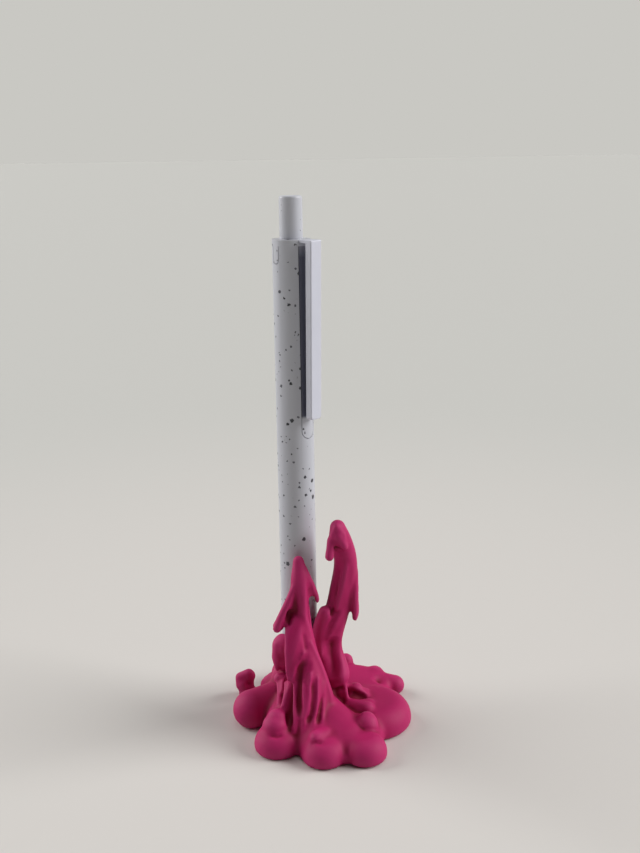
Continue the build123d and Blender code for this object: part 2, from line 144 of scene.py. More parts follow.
def mould_skin(
    tree: bpy.types.NodeTree,
    shader: bpy.types.Node,
    place: bpy.types.NodeSocket,
    grain_mm: float,
    roughness: float,
) -> None:
    """Give a shader the fine grain that a mould leaves: in its sheen and, barely, in its relief.

    Args:
        tree: The material's node tree.
        shader: The material's shader.
        place: The object's own coordinates.
        grain_mm: The grain's size in millimetres.
        roughness: The roughness that the grain varies.
    """
    smoother, rougher, relief_mm = 0.04, 0.06, 0.01
    grain = add_node(
        tree, "ShaderNodeTexNoise", values={"Scale": per_metre(grain_mm), "Detail": 1.0},
        links={"Vector": place},
    )
    bump = add_node(
        tree, "ShaderNodeBump", values={"Strength": 0.12, "Distance": relief_mm * MM},
        links={"Height": grain.outputs["Fac"]},
    )
    gloss = add_node(
        tree, "ShaderNodeMapRange",
        values={"To Min": roughness - smoother, "To Max": roughness + rougher},
        links={"Value": grain.outputs["Fac"]},
    )
    tree.links.new(gloss.outputs["Result"], shader.inputs["Roughness"])
    tree.links.new(bump.outputs["Normal"], shader.inputs["Normal"])


def merged_copy(node: str) -> bmesh.types.BMesh:
    """Copy a solid's mesh, with its loose triangles joined.

    Args:
        node: The solid's node.

    Returns:
        The joined copy.
    """
    form = bmesh.new()
    form.from_mesh(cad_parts[node].data)
    bmesh.ops.remove_doubles(form, verts=form.verts[:], dist=WELD_MM * MM)
    return form


def new_object(name: str, form: bmesh.types.BMesh) -> bpy.types.Object:
    """Turn a form into an object of the scene, at the origin.

    Args:
        name: The object's name.
        form: The form; it is used up.

    Returns:
        The object.
    """
    mesh = bpy.data.meshes.new(name)
    form.to_mesh(mesh)
    form.free()
    thing = bpy.data.objects.new(name, mesh)
    bpy.context.scene.collection.objects.link(thing)
    return thing


def smooth_faces(form: bmesh.types.BMesh) -> None:
    """Point a form's faces outwards and shade them smoothly.

    Args:
        form: The form.
    """
    bmesh.ops.recalc_face_normals(form, faces=form.faces[:])
    for face in form.faces:
        face.smooth = True


@dataclass(frozen=True)
class MattePla:
    """Matte PLA, printed in fine layers: a soft even glow, faint level lines and no shine."""

    name: str = "matte_pla_magenta"
    lit: str = "#B31D60"
    deep: str = "#A61856"
    # Colours of the painted shade in the folds and of the painted highlight on the ridges
    hollow: str = "#760029"
    ridge_highlight: str = "#B62A67"
    # Share of a deep fold at which its painted shade begins, and of a sharp ridge at which its
    # painted highlight begins
    fold_shade_from: float = 0.08
    ridge_highlight_from: float = 0.5
    blotch_mm: float = 9.0
    grain_mm: float = 0.35
    # Real layers are 0.1 mm; they are drawn at 0.6 mm so that they show at all.
    layer_mm: float = 0.6
    layer_share: float = 0.3
    relief_mm: float = 0.02
    roughness: float = 0.6
    smoother: float = 0.05
    rougher: float = 0.07
    specular: float = 0.22

    def material(self) -> bpy.types.Material:
        """Build the goo's material.

        Returns:
            The finished material.
        """
        material, tree, shader, place = new_material(self.name)
        blotch = add_node(
            tree, "ShaderNodeTexNoise",
            values={"Scale": per_metre(self.blotch_mm), "Detail": 3.0, "Roughness": 0.55},
            links={"Vector": place},
        )
        tint = add_node(
            tree, "ShaderNodeMix", settings={"data_type": "RGBA"},
            values={6: linear(self.deep), 7: linear(self.lit)},
            links={"Factor": blotch.outputs["Fac"]},
        )
        # Shade is painted darker into the folds, and a highlight is painted paler along the ridges.
        depth = add_node(tree, "ShaderNodeAttribute", settings={"attribute_name": HOLLOW})
        for colour, start, full in (
            (self.hollow, self.fold_shade_from, 1.0), (self.ridge_highlight, -self.ridge_highlight_from, -1.0),
        ):
            share = add_node(
                tree, "ShaderNodeMapRange", values={"From Min": start, "From Max": full},
                links={"Value": depth.outputs["Fac"]},
            )
            tint = add_node(
                tree, "ShaderNodeMix", settings={"data_type": "RGBA"}, values={7: linear(colour)},
                links={"Factor": share.outputs["Result"], 6: tint.outputs[2]},
            )
        grain = add_node(
            tree, "ShaderNodeTexNoise",
            values={"Scale": per_metre(self.grain_mm), "Detail": 2.0, "Roughness": 0.6},
            links={"Vector": place},
        )
        layers = add_node(
            tree, "ShaderNodeTexWave", settings={"bands_direction": "Z", "wave_profile": "SIN"},
            values={
                "Scale": WAVE_BAND * per_metre(self.layer_mm), "Distortion": 0.6, "Detail": 1.0,
            },
            links={"Vector": place},
        )
        relief = add_node(
            tree, "ShaderNodeMix", settings={"data_type": "FLOAT"},
            values={"Factor": self.layer_share},
            links={2: grain.outputs["Fac"], 3: layers.outputs["Fac"]},
        )
        bump = add_node(
            tree, "ShaderNodeBump", values={"Strength": 0.5, "Distance": self.relief_mm * MM},
            links={"Height": relief.outputs[0]},
        )
        gloss = add_node(
            tree, "ShaderNodeMapRange",
            values={
                "To Min": self.roughness - self.smoother, "To Max": self.roughness + self.rougher,
            },
            links={"Value": grain.outputs["Fac"]},
        )
        shader.inputs["Specular IOR Level"].default_value = self.specular
        tree.links.new(tint.outputs[2], shader.inputs["Base Color"])
        tree.links.new(gloss.outputs["Result"], shader.inputs["Roughness"])
        tree.links.new(bump.outputs["Normal"], shader.inputs["Normal"])
        return material


@dataclass(frozen=True)
class SpeckledAbs:
    """Satin ABS moulded with dark flakes: cool white, sparse ragged flecks and a soft sheen."""

    name: str = "speckled_abs_white"
    white: str = "#BFC0C8"
    fleck: str = "#22222A"
    pale_fleck: str = "#62626C"
    # Two sizes of flake: the cell that each one lies in, and how much of the cell the largest fills
    cells_mm: tuple[float, ...] = (2.6, 1.5)
    largest: tuple[float, ...] = (0.29, 0.31)
    # Share of the cells that hold no flake, and the soft rim of a flake as a share of its cell
    bare_share: float = 0.3
    rim_share: float = 0.04
    ragged_mm: float = 0.45
    ragged_reach: float = 1.6
    mould_grain_mm: float = 0.18
    roughness: float = 0.36
    ior: float = 1.53
    # Painted shade on the flush strip behind a clip: its bearing in degrees, its lowest and highest
    # point, its distance from the axis, and the soft ends where light falls in and the painted
    # shade fades
    painted_shade: str = "#595A6A"
    shade_bearing: float | None = None
    shade_low_mm: float = 0.0
    shade_high_mm: float = 0.0
    shade_inner_mm: float = 3.6
    shade_foot_mm: float = 0.8
    shade_head_mm: float = 3.0
    shade_head_share: float = 0.6

    def flecks(self, tree: bpy.types.NodeTree, place: bpy.types.NodeSocket) -> bpy.types.NodeSocket:
        """Scatter the flakes.

        Args:
            tree: The material's node tree.
            place: The object's own coordinates.

        Returns:
            The plastic's colour with its flecks.
        """
        ragged = add_node(
            tree, "ShaderNodeTexNoise", values={"Scale": per_metre(self.ragged_mm), "Detail": 2.0},
            links={"Vector": place},
        )
        shift = add_node(
            tree, "ShaderNodeVectorMath", settings={"operation": "MULTIPLY_ADD"},
            values={1: (self.ragged_reach * self.ragged_mm * MM,) * 3},
            links={0: ragged.outputs["Color"], 2: place},
        )
        colour: bpy.types.NodeSocket | None = None
        for cell_mm, largest in zip(self.cells_mm, self.largest):
            flakes = add_node(
                tree, "ShaderNodeTexVoronoi", settings={"feature": "F1"},
                values={"Scale": per_metre(cell_mm), "Randomness": 1.0},
                links={"Vector": shift.outputs["Vector"]},
            )
            chance = add_node(
                tree, "ShaderNodeSeparateColor", links={"Color": flakes.outputs["Color"]}
            )
            reach = add_node(
                tree, "ShaderNodeMapRange",
                values={"From Min": self.bare_share, "To Min": 0.0, "To Max": largest},
                links={"Value": chance.outputs["Red"]},
            )
            inside = add_node(
                tree, "ShaderNodeMath", settings={"operation": "SUBTRACT"},
                links={0: reach.outputs["Result"], 1: flakes.outputs["Distance"]},
            )
            mask = add_node(
                tree, "ShaderNodeMapRange", values={"From Min": 0.0, "From Max": self.rim_share},
                links={"Value": inside.outputs[0]},
            )
            tone = add_node(
                tree, "ShaderNodeMix", settings={"data_type": "RGBA"},
                values={6: linear(self.fleck), 7: linear(self.pale_fleck)},
                links={"Factor": chance.outputs["Green"]},
            )
            mixed = add_node(
                tree, "ShaderNodeMix", settings={"data_type": "RGBA"},
                values={6: linear(self.white)},
                links={"Factor": mask.outputs["Result"], 7: tone.outputs[2]},
            )
            if colour is not None:
                tree.links.new(colour, mixed.inputs[6])
            colour = mixed.outputs[2]
        return colour

    def paint_shade(
        self, tree: bpy.types.NodeTree, place: bpy.types.NodeSocket, colour: bpy.types.NodeSocket
    ) -> bpy.types.NodeSocket:
        """Paint shade on the strip that lies behind the clip.

        Args:
            tree: The material's node tree.
            place: The object's own coordinates.
            colour: The plastic's colour.

        Returns:
            The colour with the painted shade.
        """
        bearing = math.radians(self.shade_bearing)
        outward = add_node(
            tree, "ShaderNodeVectorMath", settings={"operation": "DOT_PRODUCT"},
            values={1: (math.cos(bearing), math.sin(bearing), 0)}, links={0: place},
        )
        behind = add_node(
            tree, "ShaderNodeMath", settings={"operation": "GREATER_THAN"},
            values={1: self.shade_inner_mm * MM}, links={0: outward.outputs["Value"]},
        )
        height = add_node(tree, "ShaderNodeSeparateXYZ", links={"Vector": place})
        under = add_node(
            tree, "ShaderNodeMapRange",
            values={
                "From Min": self.shade_low_mm * MM,
                "From Max": (self.shade_low_mm + self.shade_foot_mm) * MM,
            },
            links={"Value": height.outputs["Z"]},
        )
        # The painted shade lifts for the last few millimetres at the top, where light falls in.
        above = add_node(
            tree, "ShaderNodeMapRange",
            values={
                "From Min": (self.shade_high_mm - self.shade_head_mm) * MM,
                "From Max": self.shade_high_mm * MM,
                "To Min": 1.0, "To Max": self.shade_head_share,
            },
            links={"Value": height.outputs["Z"]},
        )
        below_ring = add_node(
            tree, "ShaderNodeMath", settings={"operation": "LESS_THAN"},
            values={1: self.shade_high_mm * MM}, links={0: height.outputs["Z"]},
        )
        share = behind.outputs[0]
        for factor in (under.outputs["Result"], above.outputs["Result"], below_ring.outputs[0]):
            share = add_node(
                tree, "ShaderNodeMath", settings={"operation": "MULTIPLY"},
                links={0: share, 1: factor},
            ).outputs[0]
        return add_node(
            tree, "ShaderNodeMix", settings={"data_type": "RGBA"},
            values={7: linear(self.painted_shade)}, links={"Factor": share, 6: colour},
        ).outputs[2]

    def material(self) -> bpy.types.Material:
        """Build the speckled plastic.

        Returns:
            The finished material.
        """
        material, tree, shader, place = new_material(self.name)
        colour = self.flecks(tree, place)
        if self.shade_bearing is not None:
            colour = self.paint_shade(tree, place, colour)
        shader.inputs["IOR"].default_value = self.ior
        tree.links.new(colour, shader.inputs["Base Color"])
        mould_skin(tree, shader, place, self.mould_grain_mm, self.roughness)
        return material


@dataclass(frozen=True)
class MouldedPlastic:
    """Plain moulded plastic: one colour, barely clouded, with a fine grain in the sheen."""

    name: str
    colour: str
    clouded: str
    roughness: float = 0.38
    ior: float = 1.5
    cloud_mm: float = 7.0
    mould_grain_mm: float = 0.2
    see_through: float = 0.0

    def material(self) -> bpy.types.Material:
        """Build the moulded plastic.

        Returns:
            The finished material.
        """
        material, tree, shader, place = new_material(self.name)
        cloud = add_node(
            tree, "ShaderNodeTexNoise", values={"Scale": per_metre(self.cloud_mm), "Detail": 2.0},
            links={"Vector": place},
        )
        tint = add_node(
            tree, "ShaderNodeMix", settings={"data_type": "RGBA"},
            values={6: linear(self.colour), 7: linear(self.clouded)},
            links={"Factor": cloud.outputs["Fac"]},
        )
        shader.inputs["IOR"].default_value = self.ior
        shader.inputs["Transmission Weight"].default_value = self.see_through
        tree.links.new(tint.outputs[2], shader.inputs["Base Color"])
        mould_skin(tree, shader, place, self.mould_grain_mm, self.roughness)
        return material


@dataclass(frozen=True)
class WorkedMetal:
    """Drawn, turned or polished metal: mirror-like, broken up by the tool's fine lines."""

    name: str
    colour: str
    worn: str
    roughness: float
    # Real tool lines are a few hundredths of a millimetre; they are drawn wider so that they show.
    line_mm: float = 0.12
    relief_mm: float = 0.004
    smoother: float = 0.05
    rougher: float = 0.08

    def material(self) -> bpy.types.Material:
        """Build the metal.

        Returns:
            The finished material.
        """
        material, tree, shader, place = new_material(self.name)
        lines = add_node(
            tree, "ShaderNodeTexWave", settings={"bands_direction": "Z", "wave_profile": "SAW"},
            values={
                "Scale": WAVE_BAND * per_metre(self.line_mm), "Distortion": 1.5, "Detail": 2.0,
            },
            links={"Vector": place},
        )
        tint = add_node(
            tree, "ShaderNodeMix", settings={"data_type": "RGBA"},
            values={6: linear(self.colour), 7: linear(self.worn)},
            links={"Factor": lines.outputs["Fac"]},
        )
        gloss = add_node(
            tree, "ShaderNodeMapRange",
            values={
                "To Min": self.roughness - self.smoother, "To Max": self.roughness + self.rougher,
            },
            links={"Value": lines.outputs["Fac"]},
        )
        bump = add_node(
            tree, "ShaderNodeBump", values={"Strength": 0.3, "Distance": self.relief_mm * MM},
            links={"Height": lines.outputs["Fac"]},
        )
        shader.inputs["Metallic"].default_value = 1.0
        tree.links.new(tint.outputs[2], shader.inputs["Base Color"])
        tree.links.new(gloss.outputs["Result"], shader.inputs["Roughness"])
        tree.links.new(bump.outputs["Normal"], shader.inputs["Normal"])
        return material


@dataclass(frozen=True)
class Bead:
    """A round section of goo: its centre and radius in millimetres."""

    x: float
    y: float
    z: float
    radius: float

    def centre(self) -> Vector:
        """The centre in metres."""
        return Vector((self.x, self.y, self.z)) * MM


# A crease fades towards the ends of its path: how steeply, and the least that is left of it.
FADE_RATE = 6.0
FADE_LEAST = 0.15


@dataclass(frozen=True)
class Crease:
    """A groove or, at one point, a dimple: its path, radius and depth in millimetres."""

    path: tuple[tuple[float, float, float], ...]
    radius: float
    depth: float

    def nearness(self, places: np.ndarray) -> np.ndarray:
        """Tell how deep the crease is at some places.

        Args:
            places: Points in metres, one to a row.

        Returns:
            One in the middle of the path, falling towards its ends and to nothing at the radius.
        """
        points = np.array(self.path) * MM
        if len(points) == 1:
            off = np.linalg.norm(places - points[0], axis=1)
            return np.clip(1 - (off / (self.radius * MM)) ** 2, 0, 1) ** 2
        runs = np.linalg.norm(np.diff(points, axis=0), axis=1)
        nearest = np.full(len(places), np.inf)
        travelled = np.zeros(len(places))
        for index, (start, end) in enumerate(zip(points, points[1:])):
            share = np.clip((places - start) @ (end - start) / runs[index] ** 2, 0, 1)
            off = np.linalg.norm(places - start - share[:, None] * (end - start), axis=1)
            closer = off < nearest
            nearest[closer] = off[closer]
            travelled[closer] = (runs[:index].sum() + share * runs[index])[closer] / runs.sum()
        fade = np.clip(FADE_RATE * travelled * (1 - travelled), FADE_LEAST, 1)
        return np.clip(1 - (nearest / (self.radius * MM)) ** 2, 0, 1) ** 2 * fade


# Runs of goo that the plain solid lacks: webs, folds and strings, each a chain of beads.
RUNS: dict[str, tuple[Bead, ...]] = {
    # Front spire: the web down its right edge, the flap at its left and the recess behind the flap
    "right_web": (
        Bead(0.7, -8.4, 49.2, 1.3), Bead(1.9, -8.8, 46.2, 1.5), Bead(3.5, -8.9, 43.0, 1.15),
        Bead(4.9, -8.9, 40.4, 0.8), Bead(5.25, -8.9, 38.6, 0.8),
    ),
    "left_flap": (
        Bead(-0.4, -10.5, 44.0, 1.1), Bead(-2.1, -11.2, 40.0, 1.2), Bead(-5.1, -12.2, 34.0, 1.2),
        Bead(-6.0, -12.4, 31.4, 1.25),
    ),
    "flap_recess": (
        Bead(-1.0, -8.8, 40.0, 1.3), Bead(-2.2, -8.8, 36.0, 1.5), Bead(-3.0, -9.4, 32.0, 1.5),
    ),
    "front_edge": (
        Bead(0.6, -9.6, 47.6, 0.7), Bead(1.2, -11.3, 41.8, 0.8), Bead(1.2, -12.0, 34.0, 0.8),
    ),
    # Columns of the skirt
    "column_left": (
        Bead(-0.9, -17.6, 17.0, 0.9), Bead(-0.8, -19.6, 14.2, 0.9), Bead(-1.2, -22.0, 10.6, 0.9),
        Bead(-1.5, -24.4, 6.4, 0.9),
    ),
    "column_second": (
        Bead(1.2, -18.7, 17.6, 1.0), Bead(1.6, -20.8, 13.4, 1.0), Bead(1.4, -23.3, 9.0, 0.95),
        Bead(1.3, -25.2, 6.4, 0.8),
    ),
    "column_third": (
        Bead(3.0, -17.8, 20.0, 1.0), Bead(3.1, -20.4, 14.6, 1.0), Bead(2.6, -22.8, 10.2, 0.8),
    ),
    "column_fourth": (
        Bead(5.0, -17.4, 18.6, 0.9), Bead(4.8, -20.6, 13.0, 0.9), Bead(4.2, -23.2, 9.2, 0.8),
        Bead(3.6, -25.0, 7.4, 0.7),
    ),
    "column_fifth": (
        Bead(6.6, -16.8, 16.6, 0.8), Bead(6.3, -20.2, 11.6, 0.8), Bead(5.9, -23.4, 8.4, 0.7),
    ),
    "leaf_edge": (
        Bead(1.4, -16.0, 25.6, 0.6), Bead(0.0, -16.8, 23.0, 0.55), Bead(-1.4, -17.5, 20.0, 0.5),
        Bead(-2.3, -17.8, 18.2, 0.45),
    ),
    "flank_ridge": (
        Bead(3.2, -13.6, 27.4, 0.9), Bead(5.8, -14.8, 21.0, 0.9), Bead(8.0, -16.4, 14.2, 0.9),
        Bead(9.4, -18.4, 8.0, 0.8),
    ),
    # Strings at its left, from the ball under the collar
    "collar_bulb": (
        Bead(-5.8, -5.2, 22.4, 2.1), Bead(-6.0, -5.4, 19.0, 2.2), Bead(-6.6, -6.6, 15.6, 0.6),
    ),
    "ball_under_collar": (Bead(-6.0, -6.6, 12.6, 1.7), Bead(-4.6, -7.4, 12.6, 1.4)),
    "string_outer": (
        Bead(-6.2, -8.0, 12.0, 0.7), Bead(-6.2, -11.8, 10.7, 0.45), Bead(-6.0, -16.4, 9.6, 0.7),
    ),
    "string_inner": (
        Bead(-3.7, -13.6, 15.0, 0.7), Bead(-4.0, -16.9, 13.4, 0.5), Bead(-4.6, -19.4, 11.0, 0.7),
    ),
    "string_back": (
        Bead(-4.9, -9.0, 12.8, 0.7), Bead(-5.2, -13.0, 11.0, 0.5), Bead(-5.2, -17.4, 9.6, 0.7),
    ),
    # Right spire: drips, band and roots
    "drip_root": (
        Bead(14.3, -4.4, 49.5, 2.3), Bead(15.5, -3.6, 44.4, 1.75), Bead(15.9, -4.2, 41.0, 1.4),
    ),
    "long_drip": (
        Bead(15.9, -4.2, 41.0, 1.4), Bead(16.1, -4.6, 37.0, 1.2), Bead(16.2, -4.6, 33.0, 1.0),
        Bead(16.1, -4.6, 30.4, 0.7),
    ),
    "band": (Bead(11.9, -5.0, 33.4, 1.6), Bead(10.0, -5.8, 29.2, 1.6), Bead(8.3, -6.4, 25.4, 1.6)),
    "root_string_right": (
        Bead(12.6, -9.6, 12.6, 0.9), Bead(13.4, -11.0, 9.0, 0.7), Bead(14.2, -12.4, 6.8, 0.9),
    ),
    "root_fill": (Bead(11.8, -9.2, 11.4, 1.4), Bead(12.2, -10.2, 7.4, 1.4)),
    # Lumps on the puddle
    "front_wedge": (Bead(7.6, -25.4, 5.9, 2.1), Bead(4.8, -28.2, 6.3, 2.2)),
    "left_blob": (Bead(-10.0, 2.4, 6.8, 1.6), Bead(-8.2, 1.6, 8.6, 1.6)),
    "right_ball": (Bead(18.8, -21.6, 6.5, 3.1), Bead(18.9, -22.1, 6.0, 3.1)),
    "right_mound": (Bead(14.6, -12.2, 6.6, 2.1), Bead(19.2, -14.4, 6.4, 2.5)),
}

# Broad lumps and thin leaves of goo, each one skin stretched over its beads.
SHEETS: dict[str, tuple[Bead, ...]] = {
    "front_dome": (
        Bead(-5.8, -20.4, 8.4, 2.4), Bead(-6.2, -21.4, 8.2, 3.0), Bead(-6.5, -22.7, 6.4, 3.5),
    ),
    "overhang": (
        Bead(13.6, -6.9, 9.8, 0.9), Bead(16.6, -7.5, 9.5, 1.0), Bead(19.8, -8.4, 7.0, 0.9),
        Bead(16.6, -2.0, 5.4, 1.6), Bead(21.0, -4.0, 5.2, 1.4),
    ),
    "droplet": (
        Bead(-18.7, 5.8, 6.3, 1.4), Bead(-15.9, 5.6, 7.6, 1.5), Bead(-18.6, 5.4, 3.8, 1.4),
        Bead(-15.9, 5.2, 4.0, 1.5), Bead(-16.9, 5.0, 2.4, 1.8),
    ),
    "lobe_join": (
        Bead(9.6, -30.4, 1.8, 1.8), Bead(15.0, -30.2, 1.8, 1.8),
        Bead(9.8, -27.4, 3.6, 2.4), Bead(14.8, -27.2, 3.6, 2.4),
    ),
    "hood": (
        Bead(11.1, -9.3, 60.5, 0.8), Bead(9.9, -9.3, 58.0, 0.7), Bead(11.2, -9.6, 56.4, 0.7),
        Bead(13.0, -9.5, 54.8, 0.7), Bead(13.0, -9.2, 58.0, 0.7), Bead(12.0, -7.6, 59.6, 1.2),
    ),
    "right_facet": (
        Bead(13.5, -7.5, 52.0, 0.6), Bead(13.7, -7.4, 47.4, 0.7), Bead(12.8, -7.0, 42.0, 0.7),
        Bead(11.9, -6.6, 38.2, 0.7), Bead(10.9, -6.4, 34.4, 0.7),
        Bead(15.8, -5.2, 45.0, 0.8), Bead(15.3, -4.4, 39.0, 0.8), Bead(13.9, -4.4, 33.6, 0.8),
    ),
    "leaf_top": (
        Bead(-2.4, -11.6, 34.0, 1.2), Bead(0.8, -11.6, 34.0, 1.2), Bead(-3.0, -14.0, 30.0, 0.9),
        Bead(-3.2, -16.0, 25.6, 0.8), Bead(1.3, -16.2, 24.6, 0.45),
    ),
    "leaf_tip": (
        Bead(-3.2, -16.0, 25.6, 0.8), Bead(-0.6, -16.2, 24.8, 0.7), Bead(-3.3, -17.3, 20.2, 0.5),
        Bead(-1.7, -17.3, 20.2, 0.5), Bead(-3.0, -17.7, 18.2, 0.4), Bead(-1.9, -17.8, 17.8, 0.35),
    ),
}

# Folds and dimples that are pressed into the goo.
CREASES: tuple[Crease, ...] = (
    # Beside the front spire: under its right drip, and along the leaf's right edge
    Crease(
        ((3.6, -8.9, 40.3), (3.8, -9.6, 37.6), (4.0, -10.8, 33.6), (4.2, -11.6, 30.0)),
        1.5, 1.2,
    ),
    Crease(
        (
            (1.7, -16.6, 24.4), (0.4, -17.4, 21.8), (-0.1, -18.4, 18.2),
            (-0.2, -20.8, 13.8), (0.1, -23.6, 9.2),
        ),
        1.6, 1.1,
    ),
    Crease(((3.0, -10.0, 45.0), (3.1, -11.0, 39.0), (3.3, -11.8, 32.0)), 1.7, 0.6),
    Crease(((-0.5, -10.8, 43.0), (-0.7, -11.6, 39.0), (-0.8, -12.2, 35.0)), 1.4, 0.4),
    Crease(((2.6, -16.6, 24.0), (1.8, -18.2, 20.0), (1.4, -19.6, 16.8)), 2.0, 0.5),
    Crease(((2.0, -15.6, 25.6), (1.7, -14.8, 28.0), (1.2, -14.0, 31.0)), 1.0, 0.3),
    Crease(((-1.8, -12.0, 37.0), (-2.6, -12.4, 34.6), (-2.9, -12.9, 32.2)), 1.3, 1.5),
    # Between the columns
    Crease(
        ((-2.6, -16.6, 17.4), (-2.7, -18.1, 14.8), (-2.8, -20.4, 12.0), (-2.6, -24.2, 7.0)),
        1.5, 1.8,
    ),
    Crease(((-4.9, -12.4, 11.4), (-5.0, -15.0, 11.2), (-5.2, -17.8, 10.6)), 0.9, 1.2),
    Crease(
        ((3.9, -18.4, 19.6), (3.9, -20.4, 15.6), (3.4, -22.6, 11.4), (2.0, -24.6, 8.0)),
        1.4, 0.7,
    ),
    Crease(
        ((6.8, -18.4, 14.6), (6.2, -20.6, 12.2), (5.4, -22.8, 9.8), (5.0, -25.2, 8.2)),
        1.2, 0.7,
    ),
    # Right spire: under the hood, down its face, and round the knob and the overhang at its root
    Crease(((9.3, -9.2, 55.4), (11.2, -9.6, 53.9), (13.4, -9.8, 53.2)), 0.9, 0.6),
    Crease(
        ((12.0, -7.3, 48.6), (11.3, -6.4, 43.3), (10.6, -5.9, 39.4), (9.8, -5.6, 36.6)),
        1.7, 0.35,
    ),
    Crease(((9.6, -6.8, 35.4), (9.7, -6.8, 33.8), (9.3, -7.4, 32.0)), 0.9, 0.7),
    Crease(
        ((10.0, -7.2, 26.4), (9.6, -8.6, 20.8), (9.5, -9.8, 17.0), (9.6, -11.0, 12.0)),
        3.4, 1.7,
    ),
    Crease(((13.8, -8.8, 9.4), (16.4, -9.6, 8.6), (19.4, -9.8, 7.0)), 1.8, 1.0),
    Crease(((9.6, -11.0, 10.4), (11.2, -10.9, 11.4), (12.8, -10.2, 11.8)), 1.2, 0.7),
    # Round the lumps of the puddle
    Crease(((-8.4, -26.2, 6.2), (-6.4, -26.9, 6.0), (-4.4, -26.2, 6.0)), 0.9, 0.4),
    Crease(((-15.7, 3.8, 5.0),), 1.6, 0.7),
    Crease(((2.9, -30.1, 6.0), (4.8, -30.5, 6.3), (6.6, -30.7, 6.4)), 1.0, 0.4),
    Crease(((15.4, -21.8, 7.3), (16.2, -23.8, 7.0), (18.4, -25.2, 6.5)), 0.8, 0.5),
    Crease(((12.8, -13.0, 7.2), (16.0, -16.4, 7.0), (20.0, -17.2, 6.9)), 0.9, 0.5),
    Crease(((23.9, 3.2, 6.4),), 3.0, 1.2),
)


